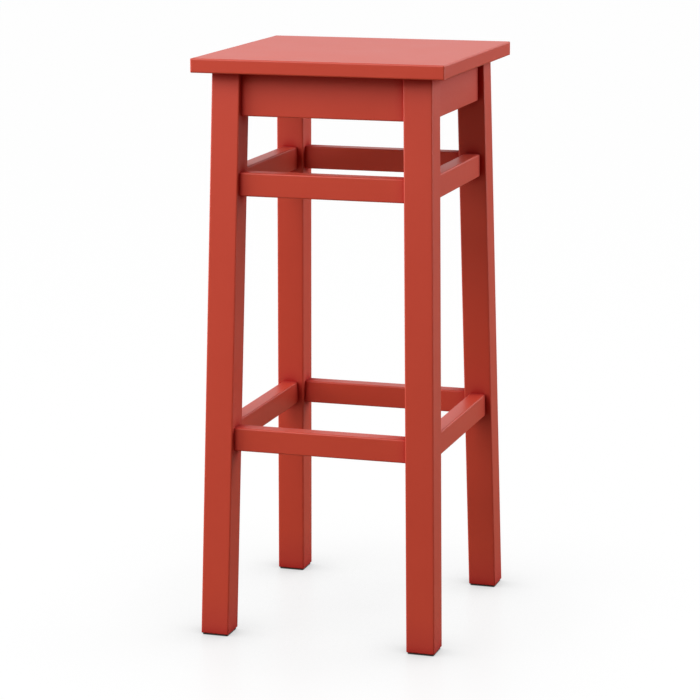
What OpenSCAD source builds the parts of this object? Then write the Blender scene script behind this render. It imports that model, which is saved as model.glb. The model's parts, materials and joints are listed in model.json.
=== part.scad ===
// Square bar stool in painted solid wood.
// Four square legs lean outwards under a flat board seat. Aprons, upper rails and
// footrest rails run between the legs, and every one of them is dowelled at both ends.
// Millimetres. +Z is up, -Y is the front, and the origin is on the floor at the centre.

/* [Seat] */
// Height of the seat's top face above the floor
seat_height = 740; // [650:5:850]
// Side of the square seat board
seat_side = 326; // [290:1:400]
// Thickness of the seat board
seat_thickness = 18; // [16:1:30]
// Radius of the seat board's eased edges
seat_edge_radius = 2; // [0.5:0.25:4]
// Distance from the seat's edge to the outer face of a leg, under the board
seat_overhang = 21; // [5:1:30]

/* [Legs] */
// Side of a leg's square section
leg_side = 37; // [32:1:48]
// Lean of the legs to the left and right, in degrees
lean_sideways = 1.1; // [0:0.1:3]
// Lean of the legs to the front and back, in degrees
lean_endways = 2.4; // [0:0.1:3.5]
// Radius of a leg's long edges
leg_edge_radius = 2; // [0.5:0.25:4]
// Bevel round the foot of a leg
foot_bevel = 1.2; // [0.4:0.1:2.5]

/* [Aprons] */
// Height of the apron boards under the seat
apron_height = 55; // [52:1:90]
// Thickness of the apron boards
apron_thickness = 21; // [19:1:26]

/* [Rails] */
// Gap between the aprons and the upper rails, wide enough for a hand
hand_gap = 70; // [40:1:120]
// Height of the footrest rails' top edge above the floor
footrest_level = 272; // [150:1:360]
// Height of a rail's section
rail_height = 30; // [24:1:50]
// Thickness of a rail's section
rail_thickness = 21; // [16:1:28]
// Radius of the eased edges on rails and aprons
rail_edge_radius = 2; // [0.5:0.25:4]

/* [Dowels] */
// Diameter of the dowels
dowel_diameter = 8; // [6:0.5:9]
// Length of the dowels
dowel_length = 35; // [28:1:45]
// Number of flutes round a dowel
dowel_flutes = 8; // [6:1:16]
// Wood left inside a leg between the two rows of dowel holes
dowel_core_wall = 2; // [1.5:0.25:4]

/* [Corner blocks] */
// Height of a block's underside above the lower edge of the aprons that it ties together
block_rise = 15; // [5:1:15]
// Thickness of a block, square to its long faces
block_thickness = 18; // [18:0.5:24]
// Length of the screws that hold the seat
seat_screw_length = 45; // [38:1:45]
// Length of the screws that hold the blocks to the aprons
block_screw_length = 25; // [18:1:26]
// Diameter of a screw's shank
screw_diameter = 4; // [3:0.25:4.5]
// Diameter of a screw's countersunk head
screw_head_diameter = 8; // [6:0.25:8.5]

/* [Foot pads] */
// Thickness of the felt pads under the feet
pad_thickness = 2; // [1:0.25:5]
// Distance from the edge of a foot to the edge of its pad
pad_inset = 1.5; // [1.5:0.5:8]
// Corner radius of a pad
pad_corner_radius = 2; // [1:0.5:6]

/* [Hidden] */
$fn = 48;

paint = [0.75, 0.27, 0.22];
bare_wood = [0.84, 0.70, 0.50];
beech = [0.80, 0.62, 0.44];
zinc = [0.72, 0.73, 0.74];
felt = [0.10, 0.09, 0.09];

// Glue gap round a dowel, and the room left past each of its ends
dowel_gap = 0.1;
dowel_end_room = 0.8;
dowel_chamfer = 1;
flute_radius = 0.5;
// Gap between a screw and its hole, and the shape of a screw's head and point
screw_gap = 0.05;
screw_head_rim = 0.4;
screw_tip = 4;
recess_width = 1;
recess_span = 4.4;
recess_depth = 1.6;
// Clearance between a corner block and the inner corner of its leg
block_clearance = 1.5;
// The seat screws stop this far below the seat's top face
seat_screw_cover = 6;
// Cutters run this far past what they cut
past = 1;

seat_bottom = seat_height - seat_thickness;
leg_top_centre = seat_side / 2 - seat_overhang - leg_side / 2;

// Centre of a leg, and its inner faces, at height z
function leg_x(z) = leg_top_centre + (seat_bottom - z) * tan(lean_sideways);
function leg_y(z) = leg_top_centre + (seat_bottom - z) * tan(lean_endways);
function inner_x(z) = leg_x(z) - leg_side / 2 / cos(lean_sideways);
function inner_y(z) = leg_y(z) - leg_side / 2 / cos(lean_endways);

// A leg is turned about X and then about Y, so the first turn allows for the second
leg_turn_x = atan(tan(lean_endways) * cos(lean_sideways));
leg_turn_y = -lean_sideways;

// Middle heights of the three tiers of members
apron_bottom = seat_bottom - apron_height;
apron_middle = seat_bottom - apron_height / 2;
upper_middle = apron_bottom - hand_gap - rail_height / 2;
footrest_middle = footrest_level - rail_height / 2;

// Each joint has two dowels, a quarter of the member's height above and below its middle
function dowel_heights(middle, height) = [middle - height / 4, middle + height / 4];
apron_dowel_heights = dowel_heights(apron_middle, apron_height);
upper_dowel_heights = dowel_heights(upper_middle, rail_height);
footrest_dowel_heights = dowel_heights(footrest_middle, rail_height);

// Holes from the two sides of a leg stop short of each other
dowel_hole_radius = dowel_diameter / 2 + dowel_gap;
leg_hole_depth = leg_side / 2 - dowel_hole_radius - dowel_core_wall;
dowel_in_leg = leg_hole_depth - dowel_end_room;
dowel_in_member = dowel_length - dowel_in_leg;
member_hole_depth = dowel_in_member + dowel_end_room;

// A corner block lies across the corner of the aprons, just clear of the leg's inner corner.
// Its ends run from block_near to block_far along each apron.
block_height = apron_height - block_rise;
apron_inner_x = leg_x(apron_middle) - apron_thickness / 2;
apron_inner_y = leg_y(apron_middle) - apron_thickness / 2;
leg_corner_reach = apron_inner_x - inner_x(seat_bottom) + apron_inner_y - inner_y(seat_bottom);
block_near = leg_corner_reach + block_clearance * sqrt(2);
block_far = block_near + block_thickness * sqrt(2);
block_screw_place = (block_near + block_far) / 2;
block_screw_head = (block_far - block_near - screw_head_diameter) / 2 - screw_head_rim;
block_screw_access = screw_head_diameter + past;
seat_screw_place = (block_near + block_far) / 4;
seat_screw_head = seat_height - seat_screw_cover - seat_screw_length;

// Everything is modelled at the back right corner, or on the back or right side, and
// mirrored to its place: side is -1 for left and 1 for right, end is -1 for front and 1 for back
module at_corner(side, end) {
    mirror([side < 0 ? 1 : 0, 0, 0])
        mirror([0, end < 0 ? 1 : 0, 0])
            children();
}

module at_every_corner() {
    for (side = [-1, 1], end = [-1, 1])
        at_corner(side, end) children();
}

// Turns a shape that stands along +Z so that it lies along +X or along +Y
module lie_along_x() {
    rotate([0, 90, 0]) children();
}

module lie_along_y() {
    rotate([-90, 0, 0]) children();
}

// Rectangle about the origin, with true arcs at its corners
module rounded_rectangle(width, height, radius) {
    square([width - 2 * radius, height], center = true);
    square([width, height - 2 * radius], center = true);
    for (x = [-1, 1], y = [-1, 1])
        translate([x * (width / 2 - radius), y * (height / 2 - radius)])
            circle(r = radius);
}

// Section of a rail, with four eased edges
module rail_section() {
    rounded_rectangle(rail_thickness, rail_height, rail_edge_radius);
}

// Section of an apron: its lower edges are eased, and its top is square against the seat
module apron_section() {
    rounded_rectangle(apron_thickness, apron_height, rail_edge_radius);
    translate([-apron_thickness / 2, 0])
        square([apron_thickness, apron_height / 2]);
}

// Frame of the back right leg: origin at the middle of its top, -Z down the leg
module in_leg_frame() {
    translate([leg_top_centre, leg_top_centre, seat_bottom])
        rotate([leg_turn_x, leg_turn_y, 0])
            children();
}

// Everything outside the inner face that a leg turns to the members along X, or along Y
module beyond_leg_x() {
    in_leg_frame()
        translate([-leg_side / 2, -seat_side, -2 * seat_height])
            cube([2 * seat_side, 2 * seat_side, 3 * seat_height]);
}

module beyond_leg_y() {
    in_leg_frame()
        translate([-seat_side, -leg_side / 2, -2 * seat_height])
            cube([2 * seat_side, 2 * seat_side, 3 * seat_height]);
}

// Dowel holes of one tier, from inside the member to inside the leg
module dowel_holes_x(middle, heights, in_member, in_leg) {
    for (z = heights)
        translate([inner_x(z) - in_member, leg_y(middle), z])
            lie_along_x()
                cylinder(r = dowel_hole_radius, h = in_member + in_leg);
}

module dowel_holes_y(middle, heights, in_member, in_leg) {
    for (z = heights)
        translate([leg_x(middle), inner_y(z) - in_member, z])
            lie_along_y()
                cylinder(r = dowel_hole_radius, h = in_member + in_leg);
}

module leg_dowel_holes(middle, heights) {
    dowel_holes_x(middle, heights, past, leg_hole_depth);
    dowel_holes_y(middle, heights, past, leg_hole_depth);
}

// Four bevels at 45 degrees round the foot of a leg
module foot_bevels() {
    diagonal = foot_bevel * sqrt(2);
    translate([leg_x(pad_thickness), leg_y(pad_thickness), pad_thickness])
        for (turn = [0:90:270])
            rotate([0, 0, turn])
                translate([leg_side / 2, 0, 0])
                    rotate([0, 45, 0])
                        cube([diagonal, 2 * leg_side, diagonal], center = true);
}

// Leg: a square post with eased edges, cut level under the seat and at the foot
module leg() {
    difference() {
        intersection() {
            in_leg_frame()
                translate([0, 0, -1.1 * seat_height])
                    linear_extrude(1.2 * seat_height)
                        rounded_rectangle(leg_side, leg_side, leg_edge_radius);
            translate([0, 0, pad_thickness])
                linear_extrude(seat_bottom - pad_thickness)
                    square(seat_side);
        }
        foot_bevels();
        leg_dowel_holes(apron_middle, apron_dowel_heights);
        leg_dowel_holes(upper_middle, upper_dowel_heights);
        leg_dowel_holes(footrest_middle, footrest_dowel_heights);
    }
}

// Member on the back side: its 2D section runs along X and is cut to the faces of two legs
module member_x(middle, heights) {
    difference() {
        translate([-seat_side / 2, leg_y(middle), middle])
            rotate([90, 0, 90])
                linear_extrude(seat_side)
                    children();
        for (side = [-1, 1])
            at_corner(side, 1) {
                beyond_leg_x();
                dowel_holes_x(middle, heights, member_hole_depth, past);
            }
    }
}

// Member on the right side: its 2D section runs along Y
module member_y(middle, heights) {
    difference() {
        translate([leg_x(middle), seat_side / 2, middle])
            rotate([90, 0, 0])
                linear_extrude(seat_side)
                    children();
        for (end = [-1, 1])
            at_corner(1, end) {
                beyond_leg_y();
                dowel_holes_y(middle, heights, member_hole_depth, past);
            }
    }
}

// Screw with its head at the origin and its point up +Z: countersunk, with a cross recess
module screw(length) {
    head = screw_head_diameter / 2;
    shank = screw_diameter / 2;
    difference() {
        rotate_extrude()
            polygon([[0, 0], [head, 0], [head, screw_head_rim],
                [shank, screw_head_rim + head - shank],
                [shank, length - screw_tip], [0, length]]);
        for (turn = [0, 90])
            rotate([0, 0, turn])
                cube([recess_span, recess_width, 2 * recess_depth], center = true);
    }
}

// Hole for that screw, with a bore of the head's width behind it for the driver
module screw_hole(length, access) {
    head = screw_head_diameter / 2 + screw_gap;
    shank = screw_diameter / 2 + screw_gap;
    rotate_extrude()
        polygon([[0, -access], [head, -access], [head, screw_head_rim],
            [shank, screw_head_rim + head - shank],
            [shank, length - screw_tip + screw_gap], [0, length + screw_gap]]);
}

// Places of the three screws in the back right corner block
module at_block_screw_x() {
    translate([apron_inner_x - block_screw_head, apron_inner_y - block_screw_place, apron_middle])
        lie_along_x() children();
}

module at_block_screw_y() {
    translate([apron_inner_x - block_screw_place, apron_inner_y - block_screw_head, apron_middle])
        lie_along_y() children();
}

module at_seat_screw() {
    translate([apron_inner_x - seat_screw_place, apron_inner_y - seat_screw_place, seat_screw_head])
        children();
}

// Aprons, with the holes for the block screws
module apron_x() {
    difference() {
        member_x(apron_middle, apron_dowel_heights) apron_section();
        for (side = [-1, 1])
            at_corner(side, 1)
                at_block_screw_y() screw_hole(block_screw_length, block_screw_access);
    }
}

module apron_y() {
    difference() {
        member_y(apron_middle, apron_dowel_heights) apron_section();
        for (end = [-1, 1])
            at_corner(1, end)
                at_block_screw_x() screw_hole(block_screw_length, block_screw_access);
    }
}

// Corner block: a board across the corner, its ends mitred against the two aprons
module corner_block() {
    difference() {
        translate([apron_inner_x, apron_inner_y, apron_bottom + block_rise])
            linear_extrude(block_height)
                polygon([[0, -block_near], [0, -block_far], [-block_far, 0], [-block_near, 0]]);
        at_block_screw_x() screw_hole(block_screw_length, block_screw_access);
        at_block_screw_y() screw_hole(block_screw_length, block_screw_access);
        at_seat_screw() screw_hole(seat_screw_length, block_height);
    }
}

// Fluted dowel, standing along +Z: its ends taper from the bottom of the flutes
module dowel() {
    radius = dowel_diameter / 2;
    core = radius - flute_radius;
    translate([0, 0, dowel_chamfer])
        linear_extrude(dowel_length - 2 * dowel_chamfer)
            difference() {
                circle(r = radius);
                for (flute = [1:dowel_flutes])
                    rotate(flute * 360 / dowel_flutes)
                        translate([radius, 0])
                            circle(r = flute_radius, $fn = 16);
            }
    cylinder(r1 = radius - dowel_chamfer, r2 = core, h = dowel_chamfer);
    translate([0, 0, dowel_length - dowel_chamfer])
        cylinder(r1 = core, r2 = radius - dowel_chamfer, h = dowel_chamfer);
}

// All the dowels of one tier
module dowels(middle, heights) {
    color(beech)
        at_every_corner()
            for (z = heights) {
                translate([inner_x(z) - dowel_in_member, leg_y(middle), z])
                    lie_along_x() dowel();
                translate([leg_x(middle), inner_y(z) - dowel_in_member, z])
                    lie_along_y() dowel();
            }
}

// Seat board: three rounded outlines meet, so that every edge and corner is eased
module seat() {
    half = seat_side / 2;
    color(paint)
        difference() {
            intersection() {
                translate([0, 0, seat_bottom])
                    linear_extrude(seat_thickness)
                        rounded_rectangle(seat_side, seat_side, seat_edge_radius);
                translate([0, half, seat_height - seat_thickness / 2])
                    rotate([90, 0, 0])
                        linear_extrude(seat_side)
                            rounded_rectangle(seat_side, seat_thickness, seat_edge_radius);
                translate([-half, 0, seat_height - seat_thickness / 2])
                    rotate([90, 0, 90])
                        linear_extrude(seat_side)
                            rounded_rectangle(seat_side, seat_thickness, seat_edge_radius);
            }
            at_every_corner()
                at_seat_screw() screw_hole(seat_screw_length, 0);
        }
}

module painted_leg(side, end) {
    color(paint) at_corner(side, end) leg();
}

module painted_rail_x(middle, heights, end) {
    color(paint) at_corner(1, end) member_x(middle, heights) rail_section();
}

module painted_rail_y(middle, heights, side) {
    color(paint) at_corner(side, 1) member_y(middle, heights) rail_section();
}

module leg_front_left() { painted_leg(-1, -1); }
module leg_front_right() { painted_leg(1, -1); }
module leg_back_left() { painted_leg(-1, 1); }
module leg_back_right() { painted_leg(1, 1); }

module apron_front() { color(paint) at_corner(1, -1) apron_x(); }
module apron_back() { color(paint) apron_x(); }
module apron_left() { color(paint) at_corner(-1, 1) apron_y(); }
module apron_right() { color(paint) apron_y(); }

module upper_rail_front() { painted_rail_x(upper_middle, upper_dowel_heights, -1); }
module upper_rail_back() { painted_rail_x(upper_middle, upper_dowel_heights, 1); }
module upper_rail_left() { painted_rail_y(upper_middle, upper_dowel_heights, -1); }
module upper_rail_right() { painted_rail_y(upper_middle, upper_dowel_heights, 1); }

module footrest_front() { painted_rail_x(footrest_middle, footrest_dowel_heights, -1); }
module footrest_back() { painted_rail_x(footrest_middle, footrest_dowel_heights, 1); }
module footrest_left() { painted_rail_y(footrest_middle, footrest_dowel_heights, -1); }
module footrest_right() { painted_rail_y(footrest_middle, footrest_dowel_heights, 1); }

module wooden_block(side, end) {
    color(bare_wood) at_corner(side, end) corner_block();
}

module corner_block_front_left() { wooden_block(-1, -1); }
module corner_block_front_right() { wooden_block(1, -1); }
module corner_block_back_left() { wooden_block(-1, 1); }
module corner_block_back_right() { wooden_block(1, 1); }

module apron_dowels() { dowels(apron_middle, apron_dowel_heights); }
module upper_rail_dowels() { dowels(upper_middle, upper_dowel_heights); }
module footrest_dowels() { dowels(footrest_middle, footrest_dowel_heights); }

// Screws up through the blocks into the seat
module seat_screws() {
    color(zinc)
        at_every_corner()
            at_seat_screw() screw(seat_screw_length);
}

// Two screws from each block into the aprons
module block_screws() {
    color(zinc)
        at_every_corner() {
            at_block_screw_x() screw(block_screw_length);
            at_block_screw_y() screw(block_screw_length);
        }
}

// Felt pad under a foot, resting on the floor
module foot_pad(side, end) {
    pad_side = leg_side - 2 * pad_inset;
    color(felt)
        at_corner(side, end)
            translate([leg_x(pad_thickness), leg_y(pad_thickness), 0])
                linear_extrude(pad_thickness)
                    rounded_rectangle(pad_side, pad_side, pad_corner_radius);
}

module foot_pad_front_left() { foot_pad(-1, -1); }
module foot_pad_front_right() { foot_pad(1, -1); }
module foot_pad_back_left() { foot_pad(-1, 1); }
module foot_pad_back_right() { foot_pad(1, 1); }

seat();
leg_front_left();
leg_front_right();
leg_back_left();
leg_back_right();
apron_front();
apron_back();
apron_left();
apron_right();
upper_rail_front();
upper_rail_back();
upper_rail_left();
upper_rail_right();
footrest_front();
footrest_back();
footrest_left();
footrest_right();
corner_block_front_left();
corner_block_front_right();
corner_block_back_left();
corner_block_back_right();
apron_dowels();
upper_rail_dowels();
footrest_dowels();
seat_screws();
block_screws();
foot_pad_front_left();
foot_pad_front_right();
foot_pad_back_left();
foot_pad_back_right();
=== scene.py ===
# %% [markdown]
# # A painted bar stool, dressed for a studio picture
#
# The stool is a small wooden frame: a square board seat on four leaning legs, with aprons, upper
# rails and footrest rails dowelled between them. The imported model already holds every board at
# its real size, so this lesson makes only what the eye adds: paint, bare wood, zinc and felt,
# a pale floor, soft light, and the camera of the photograph.

# %% Load the stool
import json
import math

import bpy
from mathutils import Matrix, Vector

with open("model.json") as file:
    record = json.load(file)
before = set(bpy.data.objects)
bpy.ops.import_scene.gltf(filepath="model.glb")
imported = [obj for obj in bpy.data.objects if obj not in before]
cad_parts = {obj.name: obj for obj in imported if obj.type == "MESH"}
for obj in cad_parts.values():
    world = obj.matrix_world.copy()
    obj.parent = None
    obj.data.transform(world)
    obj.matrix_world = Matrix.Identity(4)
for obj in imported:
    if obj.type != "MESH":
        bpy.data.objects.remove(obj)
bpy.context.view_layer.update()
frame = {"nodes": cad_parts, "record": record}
nodes = frame["nodes"]
scene = bpy.context.scene
print(len(nodes), "named pieces: boards, blocks, dowels, screws and pads")

# %% [markdown]
# ## Writing a finish as a sum
#
# A finish is a graph of nodes. Linking nodes by hand takes many lines and hides the arithmetic,
# so a small class wraps one output and lets Python's own signs add the Math nodes: 1 - mask
# is a Subtract node. Every other kind of node comes from one method, which sets what the node is
# before it sets what flows in.

# %% One value in a node tree
class Signal:
    """An output of a node. A sum or product of signals adds a Math node to their tree."""

    def __init__(self, tree, socket):
        self.tree = tree
        self.socket = socket

    def math(self, operation, first, second):
        return self.tree.add("ShaderNodeMath", {"operation": operation}, {0: first, 1: second})

    def __add__(self, other):
        return self.math("ADD", self, other)

    def __radd__(self, other):
        return self.math("ADD", other, self)

    def __sub__(self, other):
        return self.math("SUBTRACT", self, other)

    def __rsub__(self, other):
        return self.math("SUBTRACT", other, self)

    def __mul__(self, other):
        return self.math("MULTIPLY", self, other)

    def __rmul__(self, other):
        return self.math("MULTIPLY", other, self)


print("signals can be added, subtracted and multiplied")

# %% A node tree that grows by one method
CLOSENESS_SAMPLES = 8


class Graph:
    """The node tree of a material or of the world."""

    def __init__(self, owner):
        owner.use_nodes = True
        self.tree = owner.node_tree
        self.tree.nodes.clear()

    @staticmethod
    def pick(sockets, key):
        usable = [socket for socket in sockets if socket.enabled]
        if isinstance(key, int):
            return usable[key]
        return next(socket for socket in usable if socket.name == key)

    @staticmethod
    def set_stops(elements, stops):
        while len(elements) < len(stops):
            elements.new(1.0)
        for element, (place, colour) in zip(elements, stops):
            element.position = place
            element.color = colour

    def add(self, kind, settings=None, inputs=None, output=0):
        """Adds a node: its settings first, then the values or signals of its sockets."""
        node = self.tree.nodes.new(kind)
        for name, value in (settings or {}).items():
            if name == "stops":
                self.set_stops(node.color_ramp.elements, value)
            else:
                setattr(node, name, value)
        for key, value in (inputs or {}).items():
            socket = self.pick(node.inputs, key)
            if isinstance(value, Signal):
                self.tree.links.new(value.socket, socket)
            else:
                socket.default_value = value
        if not node.outputs:
            return None
        return Signal(self, self.pick(node.outputs, output))

    def mix_colours(self, amount, first, second):
        settings = {"data_type": "RGBA"}
        return self.add("ShaderNodeMix", settings, {"Factor": amount, "A": first, "B": second})

    def place(self, stretch=(1.0, 1.0, 1.0)):
        """Coordinates in metres. A number below 1 draws the pattern out along its axis."""
        metres = self.add("ShaderNodeTexCoord", output="Object")
        return self.add("ShaderNodeVectorMath", {"operation": "MULTIPLY"}, {0: metres, 1: stretch})

    def noise(self, place, scale, detail=3.0, roughness=0.5, distortion=0.0):
        values = {"Vector": place, "Scale": scale, "Detail": detail}
        values.update({"Roughness": roughness, "Distortion": distortion})
        return self.add("ShaderNodeTexNoise", None, values, "Fac")

    def closeness(self, reach, inside=False):
        """0 on an open face, more where another face lies within reach, or across an edge."""
        settings = {"samples": CLOSENESS_SAMPLES, "inside": inside}
        shade = self.add("ShaderNodeAmbientOcclusion", settings, {"Distance": reach}, "AO")
        return 1.0 - shade

    def bump(self, height, distance):
        return self.add("ShaderNodeBump", None, {"Height": height, "Distance": distance}, "Normal")


print("closeness is felt out with", CLOSENESS_SAMPLES, "rays from each point")

# %% [markdown]
# ## Colours and finishes
#
# A paint chart gives a colour as a screen shows it, but a shader counts light, so each chart
# value is made linear first. Every finish on the stool is one Principled shader, which can stand
# for paint, wood, metal and felt alike. So one helper makes any of them, and each finish only has
# to say what flows into that shader.

# %% Colours and finishes
def srgb(red, green, blue):
    """A colour as a paint chart gives it, from 0 to 255, as the linear values of a shader."""
    parts = [part / 255 for part in (red, green, blue)]
    linear = [p / 12.92 if p < 0.04045 else ((p + 0.055) / 1.055) ** 2.4 for p in parts]
    return (*linear, 1.0)


def grey(share):
    """A grey that gives back this share of the light, from 0 to 1."""
    return (share, share, share, 1.0)


def finish_material(name, build):
    """Makes a material: build fills the Principled shader's inputs from a Graph."""
    material = bpy.data.materials.new(name)
    graph = Graph(material)
    shader = graph.add("ShaderNodeBsdfPrincipled", None, build(graph))
    graph.add("ShaderNodeOutputMaterial", None, {"Surface": shader})
    print("finish", name, "has", len(graph.tree.nodes), "nodes")
    return material


WHITE = grey(1.0)
BLACK = grey(0.0)
print("mid grey of a chart is", round(srgb(128, 128, 128)[0], 3), "to a shader")

# %% [markdown]
# ## Red paint over solid wood
#
# Furniture paint is sprayed on in thin coats and rubbed down between them. What is left to see
# is a satin skin: its colour drifts in clouds by a few per cent and is finely flecked, a faint
# orange peel breaks up the reflections, and the wood's grain still telegraphs through as long
# shallow ripples. In seams and inside corners the colour is painted darker, a painted shade where
# the light falls off, and the paint is made duller there too, as if dusted by overspray. Over
# sharp edges it is painted paler: partly paint pulled thin, partly a painted highlight.
# An image of paint would stretch over the boards, so all of it is worked out from the place in
# space and from how close other faces are. The grain runs along each board because its
# coordinates are drawn out.

# %% What paint is like
PAINT_RED = srgb(201, 67, 45)
PAINT_DEEP = srgb(192, 60, 40)
# The deep red of the painted shade in seams and inside corners.
PAINT_CORNER_SHADE = srgb(165, 6, 2)
# The paler red of sharp edges: partly thin paint, partly a painted highlight.
PAINT_THIN_AND_HIGHLIGHT = srgb(216, 82, 58)
PAINT_IOR = 1.46
# Reach and strength of the painted shade in seams and, wider, in inside corners.
SEAM_REACH = 0.015
SEAM_SHADE = 0.8
CORNER_REACH = 0.06
CORNER_SHADE = 1.1
# Reach and strength of the paler edges: thin paint and painted highlight.
EDGE_REACH = 0.002
THIN_PAINT_AND_HIGHLIGHT = 0.6
CLOUDS = {"scale": 9.0, "detail": 4.0, "roughness": 0.6}
GRAIN = {"scale": 260.0, "detail": 5.0, "roughness": 0.6, "distortion": 0.4}
PEEL = {"scale": 420.0, "detail": 2.0}
FLECKS = {"scale": 1400.0, "detail": 2.0, "roughness": 0.7}
GRAIN_STRETCH = 0.06
CLOUD_TONE, GRAIN_TONE, FLECK_TONE = 0.7, 0.2, 0.1
SATIN_ROUGHNESS = 0.36
CLOUD_ROUGHNESS = 0.08
PEEL_ROUGHNESS = 0.04
OVERSPRAY_ROUGHNESS = 0.6
GRAIN_RELIEF, PEEL_RELIEF = 0.5, 0.5
FILM_RELIEF = 0.00004
# The reach of the painted shade in inside corners.
print("paint pools within", CORNER_REACH, "m of another face")


# %% Paint
def along(axis):
    """Stretch factors that draw a pattern out along one axis."""
    return tuple(GRAIN_STRETCH if number == axis else 1.0 for number in range(3))


def paint(axis):
    """The paint of boards whose grain runs along this axis."""
    def build(graph):
        plain = graph.place()
        cloud = graph.noise(plain, **CLOUDS)
        grain = graph.noise(graph.place(along(axis)), **GRAIN)
        peel = graph.noise(plain, **PEEL)
        fleck = graph.noise(plain, **FLECKS)
        tone = cloud * CLOUD_TONE + grain * GRAIN_TONE + fleck * FLECK_TONE
        film = grain * GRAIN_RELIEF + peel * PEEL_RELIEF
        # Painted shade: darker where another face is near, in seams and inside corners; the same
        # mask also makes the paint duller there.
        seam_shade = graph.closeness(SEAM_REACH) * SEAM_SHADE
        painted_shade = seam_shade + graph.closeness(CORNER_REACH) * CORNER_SHADE
        # Paler over sharp edges: partly paint pulled thin, partly a painted highlight.
        thin_and_highlit_edge = graph.closeness(EDGE_REACH, inside=True) * THIN_PAINT_AND_HIGHLIGHT
        colour = graph.mix_colours(tone, PAINT_DEEP, PAINT_RED)
        colour = graph.mix_colours(thin_and_highlit_edge, colour, PAINT_THIN_AND_HIGHLIGHT)
        satin = SATIN_ROUGHNESS + cloud * CLOUD_ROUGHNESS + peel * PEEL_ROUGHNESS
        return {
            "Base Color": graph.mix_colours(painted_shade, colour, PAINT_CORNER_SHADE),
            "Roughness": satin + painted_shade * OVERSPRAY_ROUGHNESS,
            "IOR": PAINT_IOR,
            "Normal": graph.bump(film, FILM_RELIEF),
        }

    return finish_material("paint_grain_" + "xyz"[axis], build)


painted = [paint(axis) for axis in range(3)]

# %% [markdown]
# ## Bare wood of the corner blocks
#
# The blocks are planed softwood and never painted, since they show only from below. Growth
# rings cut lengthwise read as bands that wander a little, with darker late wood at one side of
# each band. A wave texture gives the bands, noise makes them wander, and a finer noise drawn
# out along the block gives the fibres.

# %% Bare wood
SOFTWOOD_EARLY = srgb(225, 190, 140)
SOFTWOOD_LATE = srgb(190, 146, 94)
RING_WAVES = {"Scale": 60.0, "Distortion": 3.0, "Detail": 2.0}
RING_STRETCH = (0.5, 0.5, 1.0)
BLOCK_FIBRES = {"scale": 900.0, "detail": 4.0}
BLOCK_STRETCH = (0.1, 0.1, 1.0)
RING_TONE, FIBRE_TONE = 0.6, 0.4
PLANED_ROUGHNESS = 0.62
FIBRE_ROUGHNESS = 0.15
RING_RELIEF, FIBRE_RELIEF = 0.3, 0.7
PLANED_RELIEF = 0.0001


def bare_wood():
    def build(graph):
        waves = {"Vector": graph.place(RING_STRETCH), **RING_WAVES}
        rings = graph.add("ShaderNodeTexWave", {"bands_direction": "Z"}, waves, "Fac")
        fibre = graph.noise(graph.place(BLOCK_STRETCH), **BLOCK_FIBRES)
        tone = rings * RING_TONE + fibre * FIBRE_TONE
        face = rings * RING_RELIEF + fibre * FIBRE_RELIEF
        return {
            "Base Color": graph.mix_colours(tone, SOFTWOOD_EARLY, SOFTWOOD_LATE),
            "Roughness": PLANED_ROUGHNESS + fibre * FIBRE_ROUGHNESS,
            "Normal": graph.bump(face, PLANED_RELIEF),
        }

    return finish_material("planed_softwood", build)


block_wood = bare_wood()

# %% [markdown]
# ## Beech dowels
#
# The dowels lie inside the joints. They are turned from beech, whose sign is its short dark
# flecks, the rays of the wood seen end on. Cells of a Voronoi pattern, drawn out and cut off
# near their centres, give separate flecks where a noise would give clouds.

# %% Beech
BEECH_PALE = srgb(214, 172, 128)
BEECH_DARK = srgb(198, 152, 108)
BEECH_RAY = srgb(150, 104, 68)
RAY_SCALE = 900.0
RAY_STRETCH = (1.0, 0.35, 1.0)
RAY_STOPS = [(0.15, WHITE), (0.35, BLACK)]
DOWEL_FIBRES = {"scale": 700.0, "detail": 4.0}
DOWEL_STRETCH = (1.0, 0.1, 1.0)
TURNED_ROUGHNESS = 0.55
TURNED_RELIEF = 0.00008


def beech():
    def build(graph):
        spread = {"Vector": graph.place(RAY_STRETCH), "Scale": RAY_SCALE}
        cells = graph.add("ShaderNodeTexVoronoi", None, spread, "Distance")
        rays = graph.add("ShaderNodeValToRGB", {"stops": RAY_STOPS}, {"Fac": cells}, "Color")
        fibre = graph.noise(graph.place(DOWEL_STRETCH), **DOWEL_FIBRES)
        wood = graph.mix_colours(fibre, BEECH_PALE, BEECH_DARK)
        return {
            "Base Color": graph.mix_colours(rays, wood, BEECH_RAY),
            "Roughness": TURNED_ROUGHNESS + fibre * FIBRE_ROUGHNESS,
            "Normal": graph.bump(fibre, TURNED_RELIEF),
        }

    return finish_material("beech_dowel", build)


dowel_wood = beech()

# %% [markdown]
# ## Zinc-plated screws
#
# Bright zinc is a metal with a faint straw and blue cast, because the clear film over it
# scatters the light. The plating drum leaves small dull patches, so the roughness and the cast
# vary together.

# %% Zinc
ZINC_BLUE = srgb(196, 200, 206)
ZINC_STRAW = srgb(206, 200, 180)
PATCH_SCALE = 500.0
ZINC_ROUGHNESS = 0.22
PATCH_ROUGHNESS = 0.25
ZINC_RELIEF = 0.00003


def zinc():
    def build(graph):
        patches = graph.noise(graph.place(), PATCH_SCALE)
        return {
            "Base Color": graph.mix_colours(patches, ZINC_BLUE, ZINC_STRAW),
            "Metallic": 1.0,
            "Roughness": ZINC_ROUGHNESS + patches * PATCH_ROUGHNESS,
            "Normal": graph.bump(patches, ZINC_RELIEF),
        }

    return finish_material("bright_zinc", build)


screw_zinc = zinc()

# %% [markdown]
# ## Felt pads
#
# Pressed felt is a mat of short fibres. It has no gloss, a slightly paler rim where the fibres
# catch the light, and a bumpy face. Two noises of different size stand for tufts and fibres.

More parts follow.
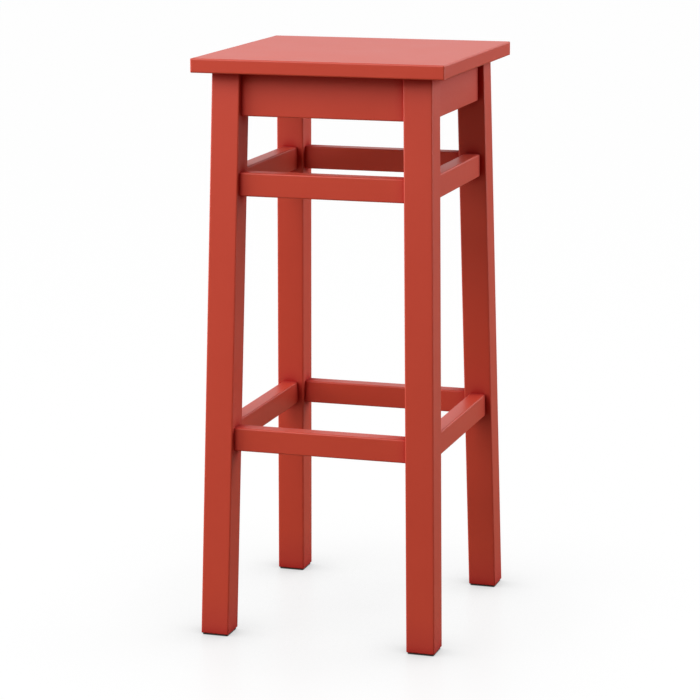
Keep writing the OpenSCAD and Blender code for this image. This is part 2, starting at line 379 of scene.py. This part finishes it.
# %% Felt
FELT_DEEP = srgb(26, 23, 22)
FELT_PALE = srgb(58, 52, 48)
TUFTS = {"scale": 900.0, "detail": 4.0, "roughness": 0.7}
HAIRS = {"scale": 4000.0, "detail": 2.0, "roughness": 0.7}
TUFT_RELIEF, HAIR_RELIEF = 0.6, 0.4
FELT_ROUGHNESS = 0.95
FELT_SHEEN = 0.35
FELT_SHEEN_ROUGHNESS = 0.5
FELT_RELIEF = 0.0004


def felt():
    def build(graph):
        plain = graph.place()
        tufts = graph.noise(plain, **TUFTS)
        hairs = graph.noise(plain, **HAIRS)
        mat = tufts * TUFT_RELIEF + hairs * HAIR_RELIEF
        return {
            "Base Color": graph.mix_colours(tufts, FELT_DEEP, FELT_PALE),
            "Roughness": FELT_ROUGHNESS,
            "Sheen Weight": FELT_SHEEN,
            "Sheen Roughness": FELT_SHEEN_ROUGHNESS,
            "Normal": graph.bump(mat, FELT_RELIEF),
        }

    return finish_material("pressed_felt", build)


pad_felt = felt()

# %% [markdown]
# ## Which finish goes where
#
# The record gives each node the slot of its real material, and whatever is not bare wood, beech,
# zinc or felt is painted. Painted boards also need the direction of their grain: the legs stand
# up, the pieces on the left and right run from front to back, and all the others run from side
# to side.

# %% Assign the finishes
by_slot = {
    "bare_wood": block_wood,
    "beech": dowel_wood,
    "zinc_steel": screw_zinc,
    "felt": pad_felt,
}
slots = {part["node"]: part["material_slot"] for part in frame["record"]["subparts"]}


def grain_axis(name):
    """The axis along which a board's grain runs: 0, 1 or 2 for x, y or z."""
    if name.startswith("leg_"):
        return 2
    return 1 if name.endswith(("_left", "_right")) else 0


for name, board in nodes.items():
    finish = by_slot.get(slots[name]) or painted[grain_axis(name)]
    board.data.materials.clear()
    board.data.materials.append(finish)
print({finish.name: finish.users for finish in bpy.data.materials if finish.users})

# %% [markdown]
# ## Floor
#
# The picture was taken on a white sweep, where floor and backdrop are one sheet. A flat disc can
# stand for it, if it is so wide that its far edge melts into the white world. A sheet lit so
# hard that it turns white would flood the stool with light, so nearly all of the white is the
# sheet's own: a ray from the camera meets a sheet that shines by itself and is lit only a little.
# The shade that makes the stool stand on it comes from closeness again. A narrow reach darkens
# the sheet beside each foot, a wide one darkens it between the feet, and a trace of gloss mirrors
# the legs. Every other ray meets a dull warm sheet, which throws back about as much light as
# the photograph shows under the rails.

# %% Floor
FLOOR_RADIUS = 40.0
FLOOR_CORNERS = 64
FLOOR_OWN_WHITE = 0.99
FLOOR_LIT_WHITE = 0.01
FLOOR_GLOSS = 0.045
FLOOR_GLOSS_ROUGHNESS = 0.35
FLOOR_NEAR_SHADE = 0.15
FLOOR_NEAR_REACH = 0.06
FLOOR_WIDE_SHADE = 0.43
FLOOR_WIDE_REACH = 0.3
FLOOR_BOUNCE = (0.28, 0.26, 0.20, 1.0)


def floor_material():
    material = bpy.data.materials.new("white_sweep")
    graph = Graph(material)
    near = graph.closeness(FLOOR_NEAR_REACH) * FLOOR_NEAR_SHADE
    wide = graph.closeness(FLOOR_WIDE_REACH) * FLOOR_WIDE_SHADE
    shine = {"Color": WHITE, "Strength": FLOOR_OWN_WHITE}
    own = graph.add("ShaderNodeEmission", None, shine)
    shaded = graph.add("ShaderNodeMixShader", None, {0: near + wide, 1: own})
    lit = graph.add("ShaderNodeBsdfDiffuse", None, {"Color": grey(FLOOR_LIT_WHITE)})
    sheet = graph.add("ShaderNodeAddShader", None, {0: shaded, 1: lit})
    mirror = {"Color": WHITE, "Roughness": FLOOR_GLOSS_ROUGHNESS}
    gloss = graph.add("ShaderNodeBsdfGlossy", None, mirror)
    seen = graph.add("ShaderNodeMixShader", None, {0: FLOOR_GLOSS, 1: sheet, 2: gloss})
    plain = graph.add("ShaderNodeBsdfDiffuse", None, {"Color": FLOOR_BOUNCE})
    camera = graph.add("ShaderNodeLightPath", output="Is Camera Ray")
    surface = graph.add("ShaderNodeMixShader", None, {0: camera, 1: plain, 2: seen})
    graph.add("ShaderNodeOutputMaterial", None, {"Surface": surface})
    return material


bpy.ops.mesh.primitive_circle_add(
    vertices=FLOOR_CORNERS, radius=FLOOR_RADIUS, fill_type="NGON")
floor = bpy.context.object
floor.name = "floor"
floor.data.materials.append(floor_material())
print("floor reaches", FLOOR_RADIUS, "m from the stool")

# %% [markdown]
# ## White surroundings
#
# Around the sweep the studio is white too, but it gives hardly any light. So the world is white
# only to the camera and in reflections, where the satin paint needs something pale to mirror.
# To every other ray it is almost black.

# %% World
SKY_LIGHT = 0.02


def build_world():
    world = bpy.data.worlds.new("studio")
    scene.world = world
    graph = Graph(world)
    camera = graph.add("ShaderNodeLightPath", output="Is Camera Ray")
    glossy = graph.add("ShaderNodeLightPath", output="Is Glossy Ray")
    through = graph.add("ShaderNodeLightPath", output="Is Transmission Ray")
    seen = graph.add("ShaderNodeBackground", None, {"Color": WHITE, "Strength": 1.0})
    light = graph.add("ShaderNodeBackground", None, {"Color": WHITE, "Strength": SKY_LIGHT})
    factor = camera + glossy + through
    surface = graph.add("ShaderNodeMixShader", None, {0: factor, 1: light, 2: seen})
    graph.add("ShaderNodeOutputWorld", None, {"Surface": surface})
    print("the world lights the stool at", SKY_LIGHT, "of the white it shows")


build_world()

# %% [markdown]
# ## Softboxes
#
# The front of the stool is the brightest side, its right side a little darker, and the shadows
# are broad and faint. Large softboxes give such light: here one low on the left, one higher in
# front, one low on the right, a weak one high behind it and a weak one overhead. Each is a round
# softbox a few metres away, as wide as a large window. So the stool is lit a little more strongly
# at the top and on the side next to a lamp, as it is in the photograph. The lowest edge of the low
# ones lies under the floor, which hides it. The levels of all five were balanced face by face
# against the photograph.

# %% Softboxes
LAMP_DISTANCE = 3.5
LAMP_SPREAD = math.radians(44)
LAMP_WIDTH = 2 * LAMP_DISTANCE * math.tan(LAMP_SPREAD / 2)
STOOL_MIDDLE = Vector((0.0, 0.0, 0.45))
LAMPS = {
    "lamp_left": (-75, 12, 0.85),
    "lamp_front": (-22, 39, 0.58),
    "lamp_right": (118, 12, 0.50),
    "lamp_right_high": (125, 42, 0.24),
    "lamp_overhead": (0, 80, 0.14),
}


def direction(turn, height):
    """The way out from the stool, at a turn from its front and a height, in degrees."""
    turn, height = math.radians(turn), math.radians(height)
    across = math.cos(height)
    return Vector((math.sin(turn) * across, -math.cos(turn) * across, math.sin(height)))


def softbox(name, turn, height, level):
    """A round lamp. At level 1 it makes a white face turned towards it exactly white."""
    lamp = bpy.data.lights.new(name, "AREA")
    lamp.shape = "DISK"
    lamp.size = LAMP_WIDTH
    lamp.energy = level * (math.pi * LAMP_DISTANCE / math.cos(LAMP_SPREAD / 2)) ** 2
    box = bpy.data.objects.new(name, lamp)
    scene.collection.objects.link(box)
    outward = direction(turn, height)
    box.location = STOOL_MIDDLE + outward * LAMP_DISTANCE
    box.rotation_euler = outward.to_track_quat("Z", "Y").to_euler()
    box.visible_camera = False
    print(name, "is", round(lamp.size, 2), "m wide and gives", round(lamp.energy), "W")


for name, (turn, height, level) in LAMPS.items():
    softbox(name, turn, height, level)

# %% [markdown]
# ## Camera
#
# The camera was found by lining up the stool's straight edges with those of the photograph. It
# stands to the right of the front, a little above the seat, over three metres away and with
# a long lens, so that the verticals stay almost parallel.

# %% Camera
CAMERA_PLACE = (1.0002, -3.2075, 1.0617)
CAMERA_TURN = 17.446
CAMERA_TILT = 11.979
CAMERA_ROLL = 0.166
FOCAL_PIXELS = 2633.3
PICTURE_PIXELS = 700
SENSOR_MM = 36.0
CLIP_END = 200.0


def build_camera():
    data = bpy.data.cameras.new("camera")
    data.sensor_width = SENSOR_MM
    data.lens = FOCAL_PIXELS / PICTURE_PIXELS * SENSOR_MM
    data.clip_end = CLIP_END
    camera = bpy.data.objects.new("camera", data)
    scene.collection.objects.link(camera)
    ahead = -direction(CAMERA_TURN, CAMERA_TILT)
    right = direction(CAMERA_TURN + 90, 0)
    up = right.cross(ahead)
    roll = Matrix.Rotation(math.radians(CAMERA_ROLL), 3, ahead)
    axes = Matrix((roll @ right, roll @ up, -ahead)).transposed()
    camera.matrix_world = Matrix.Translation(CAMERA_PLACE) @ axes.to_4x4()
    scene.camera = camera
    print("lens", round(data.lens, 1), "mm, up", [round(part, 3) for part in roll @ up])


build_camera()
scene.view_settings.view_transform = "Standard"
